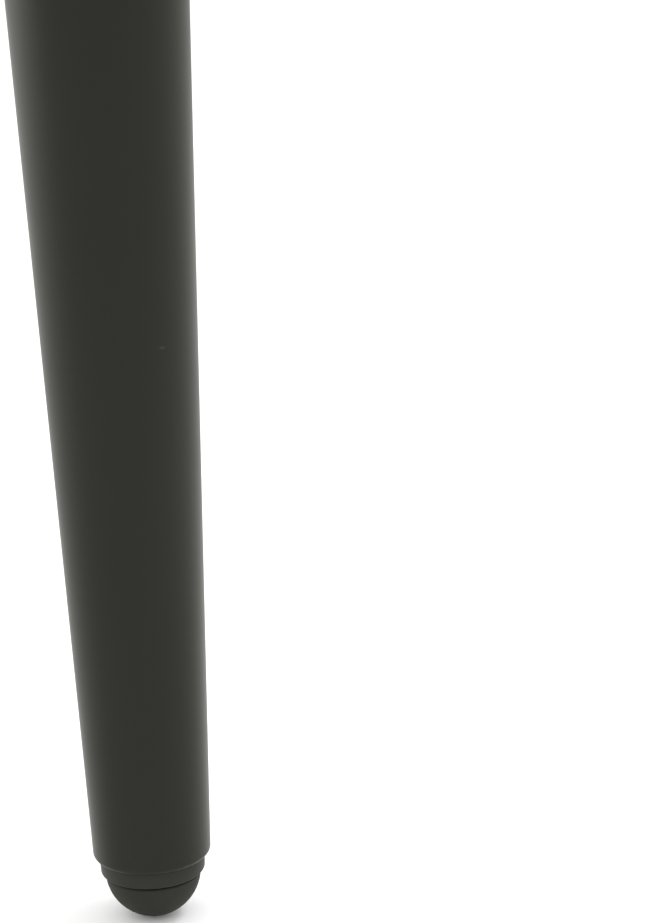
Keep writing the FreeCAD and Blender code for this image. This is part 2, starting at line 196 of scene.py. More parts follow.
def block(size: Vector, centre: Vector, turn: float) -> bmesh.types.BMesh:
    """Makes a box about a centre, turned about the vertical axis.

    Args:
        size: Length of its sides.
        centre: Its middle before it is turned.
        turn: Angle about the vertical axis, in radians.

    Returns:
        A new bmesh.
    """
    bm = bmesh.new()
    place = Matrix.Rotation(turn, 4, "Z") @ Matrix.Translation(centre)
    bmesh.ops.create_cube(bm, size=1.0, matrix=place @ Matrix.Diagonal((*size, 1.0)))
    return bm


def temporary(bm: bmesh.types.BMesh, name: str) -> bpy.types.Object:
    """Puts a bmesh into an object of its own and frees the bmesh.

    Args:
        bm: The mesh.
        name: Name of the object and its mesh.

    Returns:
        The new object.
    """
    mesh = bpy.data.meshes.new(name)
    bm.to_mesh(mesh)
    bm.free()
    thing = bpy.data.objects.new(name, mesh)
    bpy.context.scene.collection.objects.link(thing)
    return thing


def carved(
    bm: bmesh.types.BMesh, tools: Sequence[bmesh.types.BMesh], way: Carving
) -> bmesh.types.BMesh:
    """Cuts tools out of a solid, or joins them to it.

    Args:
        bm: The solid, which is freed.
        tools: The solids that cut or are joined, which are freed too.
        way: Whether they cut or are joined.

    Returns:
        A new bmesh of what results.
    """
    work = temporary(bm, "carving")
    helpers = [temporary(tool, "carving_tool") for tool in tools]
    for helper in helpers:
        carving = work.modifiers.new("carving", "BOOLEAN")
        carving.operation = way.value
        carving.solver = "EXACT"
        carving.object = helper
    graph = bpy.context.evaluated_depsgraph_get()
    mesh = bpy.data.meshes.new_from_object(work.evaluated_get(graph))
    result = bmesh.new()
    result.from_mesh(mesh)
    bpy.data.meshes.remove(mesh)
    for thing in [work, *helpers]:
        data = thing.data
        bpy.data.objects.remove(thing)
        bpy.data.meshes.remove(data)
    bmesh.ops.recalc_face_normals(result, faces=result.faces[:])
    return result


def publish(
    bm: bmesh.types.BMesh,
    name: str,
    body: Body,
    material: bpy.types.Material,
    stands_for: str,
    sharp_degrees: float = 32.0,
) -> bpy.types.Object:
    """Makes a finished piece of a bmesh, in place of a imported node.

    Args:
        bm: The piece in the row frame, which is freed.
        name: Name of the piece.
        body: Body that it moves with.
        material: Its material.
        stands_for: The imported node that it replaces.
        sharp_degrees: Angle from which an edge is shaded sharp.

    Returns:
        The new object.
    """
    piece = temporary(bm, name)
    piece.data.name = name
    piece.data.materials.append(material)
    piece.data.polygons.foreach_set("use_smooth", [True] * len(piece.data.polygons))
    piece.data.set_sharp_from_angle(angle=math.radians(sharp_degrees))
    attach(piece, body.value)
    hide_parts(stands_for)
    LOG.info("%s: %d faces, on %s", name, len(piece.data.polygons), body.value)
    return piece


def dress(node: str, material: bpy.types.Material) -> None:
    """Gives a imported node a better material.

    Args:
        node: Name of the node.
        material: The material for each of its slots.
    """
    for material_slot in frame["nodes"][node].material_slots:
        material_slot.material = material
    LOG.info("%s: packed node with %s", node, material.name)


# Shader tools


class NodeGraph:
    """A node tree with short calls for adding and joining its nodes."""

    def __init__(self, tree: bpy.types.NodeTree) -> None:
        """Starts on a tree, which is emptied."""
        self.tree = tree
        self.tree.nodes.clear()

    def add(self, kind: str, inputs: dict | None = None, **settings: object) -> bpy.types.Node:
        """Adds a node.

        Args:
            kind: The node's type name, without its ShaderNode or Node prefix.
            inputs: Value, or socket to join, for each input by name or number.
            **settings: Properties of the node.

        Returns:
            The new node.
        """
        prefix = "Node" if kind in ("GroupInput", "GroupOutput") else "ShaderNode"
        node = self.tree.nodes.new(prefix + kind)
        for key, value in settings.items():
            setattr(node, key, value)
        for key, value in (inputs or {}).items():
            socket = node.inputs[key]
            if isinstance(value, bpy.types.NodeSocket):
                self.tree.links.new(value, socket)
            else:
                socket.default_value = value
        return node

    def math(self, operation: str, *values: object) -> bpy.types.NodeSocket:
        """Adds a Math node and returns its output."""
        return self.add("Math", dict(enumerate(values)), operation=operation).outputs[0]

    def spread(
        self, value: bpy.types.NodeSocket, span: Span = (0.0, 1.0), onto: Span = (0.0, 1.0)
    ) -> bpy.types.NodeSocket:
        """Maps a span of a value smoothly onto another.

        Args:
            value: The value.
            span: Its lower and upper end.
            onto: What each end becomes.

        Returns:
            The mapped value, which stays between the two.
        """
        names = ("Value", "From Min", "From Max", "To Min", "To Max")
        inputs = dict(zip(names, (value, *span, *onto)))
        return self.add("MapRange", inputs, interpolation_type="SMOOTHSTEP").outputs[0]

    def blend(
        self, factor: bpy.types.NodeSocket, first: object, second: object
    ) -> bpy.types.NodeSocket:
        """Mixes two colours by a factor.

        Args:
            factor: From 0, the first, to 1, the second.
            first: A colour, or a socket that gives one.
            second: The other one.

        Returns:
            The mixed colour.
        """
        pair = (
            value if isinstance(value, bpy.types.NodeSocket) else (*value, 1.0)
            for value in (first, second)
        )
        inputs = dict(zip(MIX_INPUTS, (factor, *pair)))
        return self.add("Mix", inputs, data_type="RGBA").outputs[MIX_OUTPUT]

    def noise(
        self, at: bpy.types.NodeSocket, scale: object, detail: float, roughness: float = 0.5
    ) -> bpy.types.NodeSocket:
        """Adds noise of a scale and returns its value."""
        inputs = {"Vector": at, "Scale": scale, "Detail": detail, "Roughness": roughness}
        return self.add("TexNoise", inputs).outputs["Fac"]

    def share(
        self, first: object, second: object, part: bpy.types.NodeSocket
    ) -> bpy.types.NodeSocket:
        """Adds two values, of which the second takes a part and the first the rest."""
        rest = self.math("SUBTRACT", 1.0, part)
        return self.math(
            "ADD", self.math("MULTIPLY", first, rest), self.math("MULTIPLY", second, part)
        )


@dataclass
class SharedEffects:
    """Node groups of the effects that the finishes place, each built once."""

    groups: dict[Effect, bpy.types.NodeTree] = field(default_factory=dict)
    cloud_span: Span = (0.3, 0.7)
    fleck_span: Span = (0.35, 0.75)
    mark_fade: Span = (0.2, 1.0)
    mark_gaps: Span = (0.4, 0.65)

    def group(self, effect: Effect) -> bpy.types.NodeTree:
        """Gives the group of an effect, and builds it the first time.

        Args:
            effect: The effect.

        Returns:
            Its node group.
        """
        if effect not in self.groups:
            builders: dict[Effect, Callable[[], bpy.types.NodeTree]] = {
                Effect.RELIEF: self._surface_relief,
                Effect.DRIFT: self._tone_drift,
                Effect.RUB: self._rub_mark,
            }
            self.groups[effect] = builders[effect]()
        return self.groups[effect]

    @staticmethod
    def _start(
        effect: Effect, inputs: dict[str, float | Triple | None], outputs: Sequence[str]
    ) -> tuple[NodeGraph, bpy.types.Node]:
        """Starts a group with its sockets.

        Args:
            effect: The effect that it draws.
            inputs: Default of each input; a triple or None makes a vector.
            outputs: Names of its outputs, all numbers.

        Returns:
            The group's graph and its input node.
        """
        tree = bpy.data.node_groups.new(effect.value, "ShaderNodeTree")
        for label, default in inputs.items():
            vector = default is None or isinstance(default, tuple)
            kind = "NodeSocketVector" if vector else "NodeSocketFloat"
            socket = tree.interface.new_socket(label, in_out="INPUT", socket_type=kind)
            if default is not None:
                socket.default_value = default
        for label in outputs:
            tree.interface.new_socket(label, in_out="OUTPUT", socket_type="NodeSocketFloat")
        graph = NodeGraph(tree)
        return graph, graph.add("GroupInput")

    def _surface_relief(self) -> bpy.types.NodeTree:
        """Two sizes of soft grain as one height: the flow of a coating, or a moulding's texture.

        Returns:
            The node group.
        """
        graph, given = self._start(
            Effect.RELIEF,
            {"Vector": None, "Coarse": 900.0, "Fine": 4000.0, "Fine Share": 0.35},
            ("Height", "Grain"),
        )
        at, coarse, fine, part = given.outputs[:4]
        wide = graph.noise(at, coarse, detail=2.0, roughness=0.45)
        small = graph.noise(at, fine, detail=1.0)
        height = graph.share(wide, small, part)
        graph.add("GroupOutput", {"Height": height, "Grain": small})
        return graph.tree

    def _tone_drift(self) -> bpy.types.NodeTree:
        """Slow cloudy change over the surface, with faint small flecks, from 0 to 1.

        Returns:
            The node group.
        """
        graph, given = self._start(
            Effect.DRIFT,
            {"Vector": None, "Cloud": 22.0, "Fleck": 1500.0, "Fleck Share": 0.3},
            ("Mask",),
        )
        at, cloud, fleck, part = given.outputs[:4]
        soft = graph.spread(graph.noise(at, cloud, detail=3.0, roughness=0.55), self.cloud_span)
        dots = graph.spread(graph.noise(at, fleck, detail=2.0, roughness=0.6), self.fleck_span)
        graph.add("GroupOutput", {"Mask": graph.share(soft, dots, part)})
        return graph.tree

    def _rub_mark(self) -> bpy.types.NodeTree:
        """A short broken mark about a point, 1 in its middle and 0 outside it.

        Returns:
            The node group.
        """
        graph, given = self._start(
            Effect.RUB,
            {
                "Vector": None,
                "Centre": (0.0, 0.0, 0.0),
                "Reach": (0.004, 0.004, 0.001),
                "Break Up": 1400.0,
            },
            ("Mask",),
        )
        at, centre, reach, breakup = given.outputs[:4]
        offset = graph.add("VectorMath", {0: at, 1: centre}, operation="SUBTRACT").outputs[0]
        scaled = graph.add("VectorMath", {0: offset, 1: reach}, operation="DIVIDE").outputs[0]
        away = graph.add("VectorMath", {0: scaled}, operation="LENGTH").outputs["Value"]
        body = graph.spread(away, self.mark_fade, (1.0, 0.0))
        gaps = graph.spread(graph.noise(at, breakup, detail=2.0), self.mark_gaps)
        graph.add("GroupOutput", {"Mask": graph.math("MULTIPLY", body, gaps)})
        return graph.tree


@dataclass
class MaterialDesk:
    """Starts a material, places effects in it and ends it with its shader."""

    effects: SharedEffects
    name: str
    graph: NodeGraph = field(init=False)
    material: bpy.types.Material = field(init=False)
    at: bpy.types.NodeSocket = field(init=False)

    def __post_init__(self) -> None:
        """Makes the empty material and its object coordinates."""
        self.material = bpy.data.materials.new(self.name)
        self.material.use_nodes = True
        self.graph = NodeGraph(self.material.node_tree)
        self.at = self.graph.add("TexCoord").outputs["Object"]

    def lay(self, effect: Effect, **values: object) -> bpy.types.Node:
        """Lays an effect over the surface.

        Args:
            effect: The effect.
            **values: Its inputs, with an underscore for each space.

        Returns:
            The group node.
        """
        named = {key.replace("_", " "): value for key, value in values.items()}
        inputs = {"Vector": self.at, **named}
        return self.graph.add("Group", inputs, node_tree=self.effects.group(effect))

    def finish(
        self,
        colour: bpy.types.NodeSocket,
        roughness: bpy.types.NodeSocket,
        height: bpy.types.NodeSocket,
        relief: float,
        seen_from_below: bool = True,
        **uniform: float,
    ) -> bpy.types.Material:
        """Puts the shader at the end.

        Args:
            colour: Base colour.
            roughness: Roughness.
            height: Height that the bump reads, from 0 to 1.
            relief: How deep a height of 1 is, in metres.
            seen_from_below: Whether the back of a face shows.
            **uniform: Values on the shader's own sockets, with an underscore for each space.

        Returns:
            The material.
        """
        bump = self.graph.add("Bump", {"Strength": 1.0, "Distance": relief, "Height": height})
        shader = self.graph.add(
            "BsdfPrincipled",
            {"Base Color": colour, "Roughness": roughness, "Normal": bump.outputs["Normal"]},
        )
        for key, value in uniform.items():
            shader.inputs[key.replace("_", " ")].default_value = value
        surface = shader.outputs[0]
        if not seen_from_below:
            back = self.graph.add("NewGeometry").outputs["Backfacing"]
            clear = self.graph.add("BsdfTransparent").outputs[0]
            surface = self.graph.add("MixShader", {0: back, 1: surface, 2: clear}).outputs[0]
        self.graph.add("OutputMaterial", {"Surface": surface})
        return self.material


# Finishes


@dataclass(frozen=True)
class PowderCoat:
    """Satin dark olive-grey powder coat, with the fine flow that such a coat has."""

    name: str = "satin_powder_coat"
    deep: Colour = (0.0130, 0.0137, 0.0090)
    pale: Colour = (0.0146, 0.0154, 0.0103)
    rubbed: Colour = (0.038, 0.039, 0.033)
    roughness: Span = (0.315, 0.355)
    reflection: float = 0.24
    relief: float = 13e-6
    mark: Triple = (0.0128, -0.0207, -0.5150)
    mark_reach: Triple = (0.0021, 0.0021, 0.0007)

    def build(self, effects: SharedEffects) -> bpy.types.Material:
        """Builds the material.

        Args:
            effects: The shared node groups.

        Returns:
            The material.
        """
        desk = MaterialDesk(effects, self.name)
        drift = desk.lay(Effect.DRIFT, Cloud=16.0, Fleck=1900.0, Fleck_Share=0.25).outputs[0]
        grain = desk.lay(Effect.RELIEF, Coarse=850.0, Fine=3600.0, Fine_Share=0.3)
        rub = desk.lay(Effect.RUB, Centre=self.mark, Reach=self.mark_reach, Break_Up=600.0)
        coat = desk.graph.blend(drift, self.deep, self.pale)
        colour = desk.graph.blend(rub.outputs[0], coat, self.rubbed)
        sheen = desk.graph.spread(drift, onto=self.roughness)
        height = grain.outputs["Height"]
        return desk.finish(
            colour, sheen, height, self.relief, Specular_IOR_Level=self.reflection
        )


@dataclass(frozen=True)
class MouldedPlastic:
    """Moulded plastic with a fine spark texture."""

    name: str
    deep: Colour
    pale: Colour
    roughness: Span
    reflection: float
    grain: float
    relief: float
    fine_ratio: float = 2.7
    grain_span: Span = (0.3, 0.7)

    def build(self, effects: SharedEffects) -> bpy.types.Material:
        """Builds the material.

        Args:
            effects: The shared node groups.

        Returns:
            The material.
        """
        desk = MaterialDesk(effects, self.name)
        drift = desk.lay(Effect.DRIFT, Cloud=70.0, Fleck=2600.0, Fleck_Share=0.4).outputs[0]
        fine = self.grain * self.fine_ratio
        grain = desk.lay(Effect.RELIEF, Coarse=self.grain, Fine=fine, Fine_Share=0.5)
        colour = desk.graph.blend(drift, self.deep, self.pale)
        dull = desk.graph.spread(grain.outputs["Grain"], self.grain_span, self.roughness)
        height = grain.outputs["Height"]
        return desk.finish(
            colour, dull, height, self.relief, Specular_IOR_Level=self.reflection
        )


@dataclass(frozen=True)
class ZincPlate:
    """Bright zinc plate over steel, with painted shade that darkens the thread's roots."""

    name: str = "zinc_plate"
    bright: Colour = (0.60, 0.60, 0.58)
    clouded: Colour = (0.46, 0.47, 0.46)
    root: Colour = (0.11, 0.11, 0.105)
    roughness: Span = (0.40, 0.24)
    relief: float = 3e-6
    root_radius: float = 2.45 * MM
    crest_radius: float = 2.92 * MM

    def build(self, effects: SharedEffects) -> bpy.types.Material:
        """Builds the material.

        Args:
            effects: The shared node groups.

        Returns:
            The material.
        """
        desk = MaterialDesk(effects, self.name)
        graph = desk.graph
        drift = desk.lay(Effect.DRIFT, Cloud=260.0, Fleck=5200.0, Fleck_Share=0.4).outputs[0]
        grain = desk.lay(Effect.RELIEF, Coarse=2400.0, Fine=9000.0, Fine_Share=0.5)
        # Painted shade: the distance from the axis darkens the colour from the crests down into the
        # thread's roots, where shade falls.
        level = {0: desk.at, 1: (1.0, 1.0, 0.0)}
        flat = graph.add("VectorMath", level, operation="MULTIPLY").outputs[0]
        radius = graph.add("VectorMath", {0: flat}, operation="LENGTH").outputs["Value"]
        depth = graph.spread(radius, (self.root_radius, self.crest_radius), (1.0, 0.0))
        plated = graph.blend(drift, self.clouded, self.bright)
        colour = graph.blend(depth, plated, self.root)
        dull = graph.spread(drift, onto=self.roughness)
        return desk.finish(colour, dull, grain.outputs["Height"], self.relief, Metallic=1.0)


@dataclass(frozen=True)
class FloorPaint:
    """Plain pale floor, which lights and mirrors in the leg as if it were darker."""

    name: str = "studio_floor"
    colour: Colour = (0.97, 0.97, 0.97)
    shade: Colour = (0.955, 0.955, 0.955)
    bounce: Colour = (0.50, 0.50, 0.50)
    mirrored: Colour = (0.79, 0.79, 0.755)
    roughness: Span = (0.75, 0.85)
    reflection: float = 0.2
    relief: float = 1e-6

    def build(self, effects: SharedEffects) -> bpy.types.Material:
        """Builds the material.

        Args:
            effects: The shared node groups.

        Returns:
            The material.
        """
        desk = MaterialDesk(effects, self.name)
        drift = desk.lay(Effect.DRIFT, Cloud=1.5, Fleck=40.0, Fleck_Share=0.1).outputs[0]
        seen = desk.graph.blend(drift, self.shade, self.colour)
        path = desk.graph.add("LightPath")
        unseen = desk.graph.blend(path.outputs["Is Glossy Ray"], self.bounce, self.mirrored)
        colour = desk.graph.blend(path.outputs["Is Camera Ray"], unseen, seen)
        dull = desk.graph.spread(drift, onto=self.roughness)
        return desk.finish(
            colour,
            dull,
            drift,
            self.relief,
            seen_from_below=False,
            Specular_IOR_Level=self.reflection,
        )


# Sub-assemblies


@dataclass
class ConicalTube:
    """The tapering tube, rolled in at its lower end to a lip round the mouth."""

    finish: bpy.types.Material
    lower_radius: float = 19.0 * MM
    wall: float = 1.5 * MM
    lip_thickness: float = 1.5 * MM
    lip_width: float = 4.0 * MM
    lip_rounding: float = 2.0 * MM
    inner_rounding: float = 0.5 * MM
    mouth_rounding: float = 0.25 * MM
    segments: int = 256
    bottom: float = field(init=False)
    top: float = field(init=False)
    upper_radius: float = field(init=False)
    taper: float = field(init=False)

    def __post_init__(self) -> None:
        """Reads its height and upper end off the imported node."""
        low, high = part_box("leg_tube")
        self.bottom, self.top = low.z, high.z
        self.upper_radius = high.x
        self.taper = (self.upper_radius - self.lower_radius) / (self.top - self.bottom)

    def radius_at(self, z: float) -> float:
        """The outer radius at a height."""
        return self.lower_radius + self.taper * (z - self.bottom)

    def build(self) -> bpy.types.Object:
        """Builds and dresses the tube.

        Returns:
            The finished piece.
        """
        mouth = self.lower_radius - self.lip_width
        lip_top = self.bottom + self.lip_thickness
        inner_low = self.radius_at(lip_top) - self.wall
        bm = turned(
            (
                (mouth, self.bottom),
                (self.lower_radius, self.bottom),
                (self.upper_radius, self.top),
                (self.upper_radius - self.wall, self.top),
                (inner_low, lip_top),
                (mouth, lip_top),
            ),
            self.segments,
        )
        round_ring(bm, self.lower_radius, self.bottom, self.lip_rounding, segments=10)
        round_ring(bm, inner_low, lip_top, self.inner_rounding, segments=4)
        for height in (self.bottom, lip_top):
            round_ring(bm, mouth, height, self.mouth_rounding, segments=3)
        return publish(bm, "conical_tube", Body.LEG, self.finish, "leg_tube")


@dataclass
class WeldBead:
    """The fillet weld between tube and plate, with the ripples of a machine weld under the coat."""

    finish: bpy.types.Material
    tube: ConicalTube
    leg: float = 3.5 * MM
    sink: float = 0.15 * MM
    crown: float = 0.42 * MM
    ripple: float = 0.20 * MM
    ripple_count: int = 96
    ripple_sharpness: float = 0.6
    bow: float = 1.9
    face_slack: float = 0.01 * MM
    rows: int = 10
    segments: int = 768

    def build(self) -> bpy.types.Object:
        """Builds and dresses the bead.

        Returns:
            The finished piece.
        """
        top = self.tube.top
        low = top - self.leg
        on_tube = self.tube.radius_at(low)
        on_plate = self.tube.upper_radius + self.leg
        root = self.tube.upper_radius - self.sink
        face = [
            (on_tube + (on_plate - on_tube) * i / self.rows, low + (top - low) * i / self.rows)
            for i in range(self.rows + 1)
        ]
        bm = turned((*face, (root, top), (on_tube - self.sink, low)), self.segments)
        slope = Vector((on_plate - on_tube, top - low)).normalized()
        for vertex in bm.verts:
            self._shape(vertex, low, top, on_tube, on_plate, slope)
        tidy(bm)
        return publish(
            bm, "weld_bead", Body.LEG, self.finish, "plate_weld", sharp_degrees=80.0
        )

    def _shape(
        self,
        vertex: bmesh.types.BMVert,
        low: float,
        top: float,
        on_tube: float,
        on_plate: float,
        slope: Vector,
    ) -> None:
        """Raises a vertex of the bead's face into the crown and its ripples.

        Args:
            vertex: The vertex.
            low: Height of the toe on the tube.
            top: Height of the toe on the plate.
            on_tube: Radius of the toe on the tube.
            on_plate: Radius of the toe on the plate.
            slope: Direction up the face, as radius and height.
        """
        across = (vertex.co.z - low) / (top - low)
        face_radius = on_tube + (on_plate - on_tube) * across
        if not 0.0 < across < 1.0 or vertex.co.xy.length < face_radius - self.face_slack:
            return
        around = math.atan2(vertex.co.y, vertex.co.x)
        phase = self.ripple_count * around + self.bow * math.pi * (2.0 * across - 1.0) ** 2
        wave = 0.5 + 0.5 * math.cos(phase)
        dip = self.ripple * (1.0 - wave**self.ripple_sharpness)
        rise = math.sin(math.pi * across) * (self.crown - dip)
        outward = vertex.co.xy.normalized() * slope.y * rise
        vertex.co += Vector((outward.x, outward.y, -slope.x * rise))


@dataclass
class SnapInsert:
    """The moulded insert: collar, ribbed boss for the nut and six fingers that hold the lip."""

    finish: bpy.types.Material
    tube: ConicalTube
    collar_height: float = 5.5 * MM
    collar_step: float = 1.9 * MM
    collar_draft: float = 0.25 * MM
    collar_rounding: float = 0.8 * MM
    step_rounding: float = 0.12 * MM
    floor: float = 2.5 * MM
    neck_clearance: float = 0.25 * MM
    wall: float = 1.6 * MM
    skirt_height: float = 10.5 * MM
    tip_inset: float = 0.6 * MM
    barb_overhang: float = 0.9 * MM
    barb_land: float = 0.9 * MM
    barb_clearance: float = 0.1 * MM
    barb_rounding: float = 0.25 * MM
    slit_width: float = 2.4 * MM
    slit_lift: float = 0.02 * MM
    slit_spare: float = 1.0 * MM
    boss_radius: float = 7.6735 * MM
    boss_height: float = 12.0 * MM
    bore_radius: float = 3.3 * MM
    boss_rounding: float = 0.3 * MM
    rib_thickness: float = 1.8 * MM
    rib_root: float = 0.6 * MM
    rib_sink: float = 0.5 * MM
    nut_sides: int = 6
    nut_flats: float = 10.0 * MM
    nut_seat: float = 5.0 * MM
    nut_height: float = 5.0 * MM
    count: int = 6
    segments: int = 192
    bottom: float = field(init=False)

    def __post_init__(self) -> None:
        """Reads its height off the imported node."""
        self.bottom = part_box("foot_plug")[0].z

    def build(self) -> bpy.types.Object:
        """Builds and dresses the insert.

        Returns:
            The finished piece.
        """
        bm = carved(self._shell(), self._ribs(), Carving.JOIN)
        bm = carved(bm, [*self._slits(), self._nut_pocket()], Carving.CUT)
        return publish(
            bm, "snap_insert", Body.LEG, self.finish, "foot_plug", sharp_degrees=28.0
        )

    def _shell(self) -> bmesh.types.BMesh:
        """Turns collar, floor, boss and skirt from one section.

        Returns:
            The insert without ribs, slits and pocket.
        """
        z = self.bottom
        mouth = self.tube.lower_radius - self.tube.lip_width
        collar_high = self.tube.lower_radius - self.collar_step
        collar_low = collar_high - self.collar_draft
        neck = mouth - self.neck_clearance
        barb = mouth + self.barb_overhang
        inner = neck - self.wall
        barb_low = z + self.collar_height + self.tube.lip_thickness + self.barb_clearance
        tip = z + self.collar_height + self.skirt_height
        bm = turned(
            (
                (self.bore_radius, z),
                (collar_low, z),
                (collar_high, z + self.collar_height),
                (neck, z + self.collar_height),
                (neck, barb_low),
                (barb, barb_low),
                (barb, barb_low + self.barb_land),
                (neck - self.tip_inset, tip),
                (inner, tip),
                (inner, z + self.floor),
                (self.boss_radius, z + self.floor),
                (self.boss_radius, z + self.boss_height),
                (self.bore_radius, z + self.boss_height),
            ),
            self.segments,
        )
        round_ring(bm, collar_low, z, self.collar_rounding, segments=7)
        round_ring(bm, collar_high, z + self.collar_height, self.step_rounding, segments=2)
        round_ring(bm, self.bore_radius, z, self.boss_rounding, segments=3)
        round_ring(bm, barb, barb_low + self.barb_land, self.barb_rounding, segments=3)
        round_ring(bm, self.boss_radius, z + self.boss_height, self.boss_rounding, segments=3)
        return bm

    def _spokes(self, size: Vector, centre: Vector, offset: float) -> list[bmesh.types.BMesh]:
        """Copies of a box, evenly about the axis, the first one turned by an offset."""
        step = math.tau / self.count
        return [block(size, centre, offset + step * i) for i in range(self.count)]

    def _ribs(self) -> list[bmesh.types.BMesh]:
        """The ribs between boss and skirt, rooted in both and in the floor.

        Returns:
            One solid a rib.
        """
        mouth = self.tube.lower_radius - self.tube.lip_width
        inner = mouth - self.neck_clearance - self.wall
        start = self.boss_radius - self.rib_root
        end = inner + self.wall / 2
        low = self.bottom + self.floor - self.rib_sink
        high = self.bottom + self.collar_height
        size = Vector((end - start, self.rib_thickness, high - low))
        return self._spokes(size, Vector(((start + end) / 2, 0.0, (low + high) / 2)), 0.0)

    def _slits(self) -> list[bmesh.types.BMesh]:
        """The cuts that part the skirt into fingers.

        Returns:
            One solid a cut.
        """
        mouth = self.tube.lower_radius - self.tube.lip_width
        inner = mouth - self.neck_clearance - self.wall
        start = (self.boss_radius + inner) / 2
        end = mouth + self.barb_overhang + self.slit_spare
        low = self.bottom + self.collar_height + self.slit_lift
        high = low + self.skirt_height + self.slit_spare
        size = Vector((end - start, self.slit_width, high - low))
        centre = Vector(((start + end) / 2, 0.0, (low + high) / 2))
        return self._spokes(size, centre, math.pi / self.count)

    def _nut_pocket(self) -> bmesh.types.BMesh:
        """The hexagon pocket that holds the nut.

        Returns:
            The solid that cuts it.
        """
        bm = bmesh.new()
        middle = self.bottom + self.nut_seat + self.nut_height / 2
        turn = Matrix.Rotation(math.pi / 2, 4, "Z")
        corner = self.nut_flats / 2 / math.cos(math.pi / self.nut_sides)
        bmesh.ops.create_cone(
            bm,
            cap_ends=True,
            segments=self.nut_sides,
            radius1=corner,
            radius2=corner,
            depth=self.nut_height,
            matrix=Matrix.Translation((0.0, 0.0, middle)) @ turn,
        )
        return bm


@dataclass
class ThreadedStud:
    """The stud: a right-hand thread with a chamfered tip, on a knurled head inside the foot."""

    finish: bpy.types.Material
    radius: float = 3.0 * MM
    root_radius: float = 2.387 * MM
    pitch: float = 1.0 * MM
    flank_start: float = 0.0835
    crest_start: float = 0.409
    crest_flat: float = 0.452
    crest_drop: float = 0.05 * MM
    spare_turns: int = 2
    turn_weld: float = 0.002 * MM
    tip_chamfer: float = 0.8 * MM
    head_radius: float = 6.0 * MM
    head_height: float = 3.5 * MM
    knurl_depth: float = 0.45 * MM
    knurl_count: int = 20
    steps_per_knurl: int = 3
    steps_per_turn: int = 72
    bottom: float = field(init=False)
    top: float = field(init=False)
    shoulder: float = field(init=False)

    def __post_init__(self) -> None:
        """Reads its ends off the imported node."""
        low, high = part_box("foot_stud")
        self.bottom, self.top = low.z, high.z
        self.shoulder = self.bottom + self.head_height

    def build(self) -> bpy.types.Object:
        """Builds and dresses the stud.

        Returns:
            The finished piece.
        """
        bm = self._thread()
        self._chamfer_tip(bm)
        self._add_head(bm)
        bmesh.ops.recalc_face_normals(bm, faces=bm.faces[:])
        return publish(
            bm, "threaded_stud", Body.SCREW, self.finish, "foot_stud", sharp_degrees=40.0
        )

    def _thread(self) -> bmesh.types.BMesh:
        """Sweeps the thread's section through one turn, stacks copies and trims them to length.

        Returns:
            The closed shank.
        """
        bm = bmesh.new()
        p = self.pitch
        rising = (
            (self.root_radius, 0.0),
            (self.root_radius, self.flank_start),
            (self.radius - self.crest_drop, self.crest_start),
            (self.radius, self.crest_flat),
        )
        falling = tuple((r, 1.0 - share) for r, share in reversed(rising))
        start = self.shoulder - self.spare_turns * p
        points = [bm.verts.new((r, 0.0, start + share * p)) for r, share in rising + falling]
        for first, second in zip(points, points[1:]):
            bm.edges.new((first, second))
        bmesh.ops.spin(
            bm,
            geom=bm.verts[:] + bm.edges[:],
            cent=(0.0, 0.0, 0.0),
            axis=(0.0, 0.0, 1.0),
            dvec=(0.0, 0.0, p / self.steps_per_turn),
            angle=math.tau,
            steps=self.steps_per_turn,
        )
        first_turn = bm.verts[:] + bm.edges[:] + bm.faces[:]
        turns = math.ceil((self.top - self.shoulder) / p) + self.spare_turns + 1
        for turn in range(1, turns):
            copied = bmesh.ops.duplicate(bm, geom=first_turn)["geom"]
            corners = [part for part in copied if isinstance(part, bmesh.types.BMVert)]
            bmesh.ops.translate(bm, verts=corners, vec=(0.0, 0.0, turn * p))
        bmesh.ops.remove_doubles(bm, verts=bm.verts[:], dist=self.turn_weld)
        for height, side in ((self.shoulder, -1.0), (self.top, 1.0)):
            cut = bmesh.ops.bisect_plane(
                bm,
                geom=bm.verts[:] + bm.edges[:] + bm.faces[:],
                dist=WELD_DISTANCE,
                plane_co=(0.0, 0.0, height),
                plane_no=(0.0, 0.0, side),
                clear_outer=True,
            )
            rim = [part for part in cut["geom_cut"] if isinstance(part, bmesh.types.BMEdge)]
            bmesh.ops.contextual_create(bm, geom=rim)
        return bm

    def _chamfer_tip(self, bm: bmesh.types.BMesh) -> None:
        """Draws the thread in to the cone of the tip's chamfer.

        Args:
            bm: The shank, from shoulder to tip.
        """
        start = self.top - self.tip_chamfer
        for vertex in bm.verts:
            allowed = self.radius - (vertex.co.z - start)
            radius = vertex.co.xy.length
            if vertex.co.z > start and radius > allowed:
                vertex.co.xy *= allowed / radius

    def _add_head(self, bm: bmesh.types.BMesh) -> None:
        """Adds the round head with its knurled edge.

        Args:
            bm: The shank, which gets the head.
        """
        place = Matrix.Translation((0.0, 0.0, self.bottom + self.head_height / 2))
        head = bmesh.ops.create_cone(
            bm,
            cap_ends=True,
            segments=self.steps_per_knurl * self.knurl_count,
            radius1=self.head_radius,
            radius2=self.head_radius,
            depth=self.head_height,
            matrix=place,
        )
        knurl = math.tau / self.knurl_count
        for vertex in head["verts"]:
            around = math.atan2(vertex.co.y, vertex.co.x) % knurl
            if min(around, knurl - around) < knurl / self.steps_per_knurl / 2.0:
                vertex.co.xy *= 1.0 - self.knurl_depth / self.head_radius


